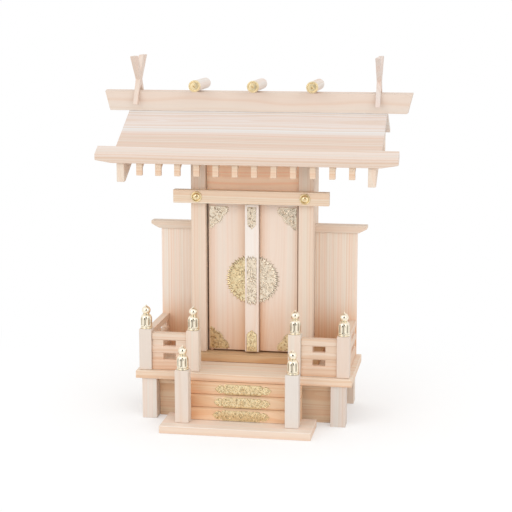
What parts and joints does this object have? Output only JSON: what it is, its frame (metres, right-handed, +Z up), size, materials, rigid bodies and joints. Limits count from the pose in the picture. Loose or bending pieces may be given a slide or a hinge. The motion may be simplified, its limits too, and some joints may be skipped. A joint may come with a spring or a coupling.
{
  "type": "household shrine",
  "caption": "Small wooden shrine with a gabled roof on rafters, a hollow room behind outward-swinging doors, a railed deck, side screens, front steps and turned brass finials.",
  "frame": {"origin": "centre of the footprint on the surface that the shrine stands on", "axes": "+Z up, front with the doors and steps towards -Y, +X to the right seen from the front"},
  "size_m": [0.3798, 0.2138, 0.4309],
  "materials": {
    "cypress": "planed bare pale cypress, fine straight grain",
    "brass": "polished gilt brass"
  },
  "bodies": {
    "shrine": {"base_board": "cypress", "step_lower": "cypress", "step_middle": "cypress", "step_upper": "cypress", "newel_left": "cypress", "newel_right": "cypress", "newel_finial_left": "brass", "newel_finial_right": "brass", "deck": "cypress", "deck_post_front_left": "cypress", "deck_post_front_right": "cypress", "deck_post_rear_left": "cypress", "deck_post_rear_right": "cypress", "skirt_front": "cypress", "bearer_left": "cypress", "bearer_right": "cypress", "bearer_back": "cypress", "corner_post_left": "cypress", "corner_post_right": "cypress", "stair_post_left": "cypress", "stair_post_right": "cypress", "corner_post_finial_left": "brass", "corner_post_finial_right": "brass", "stair_post_finial_left": "brass", "stair_post_finial_right": "brass", "railing_front_left": "cypress", "railing_front_right": "cypress", "railing_side_left": "cypress", "railing_side_right": "cypress", "plinth": "cypress", "pillar_left": "cypress", "pillar_right": "cypress", "side_wall_left": "cypress", "side_wall_right": "cypress", "back_wall": "cypress", "header_panel": "cypress", "tie_beam": "cypress", "wing_left": "cypress", "wing_right": "cypress", "wing_cap_left": "cypress", "wing_cap_right": "cypress", "bargeboard_left": "cypress", "bargeboard_right": "cypress", "rafters_front": "cypress", "rafters_back": "cypress", "roof_front": "cypress", "roof_back": "cypress", "eave_plank": "cypress", "ridge_beam": "cypress", "chigi_left": "cypress", "chigi_right": "cypress", "ridge_log_left": "cypress", "ridge_log_centre": "cypress", "ridge_log_right": "cypress"},
    "left_door": {"door_left": "cypress", "door_batten": "cypress"},
    "right_door": {"door_right": "cypress"}
  },
  "joints": [
    {"name": "left_door_hinge", "type": "hinge", "parent": "shrine", "child": "left_door", "pos_m": [-0.0522, 0.026, 0.16], "axis": [0, 0, -1], "range_deg": [0, 75]},
    {"name": "right_door_hinge", "type": "hinge", "parent": "shrine", "child": "right_door", "pos_m": [0.0522, 0.026, 0.16], "axis": [0, 0, 1], "range_deg": [0, 85]}
  ]
}
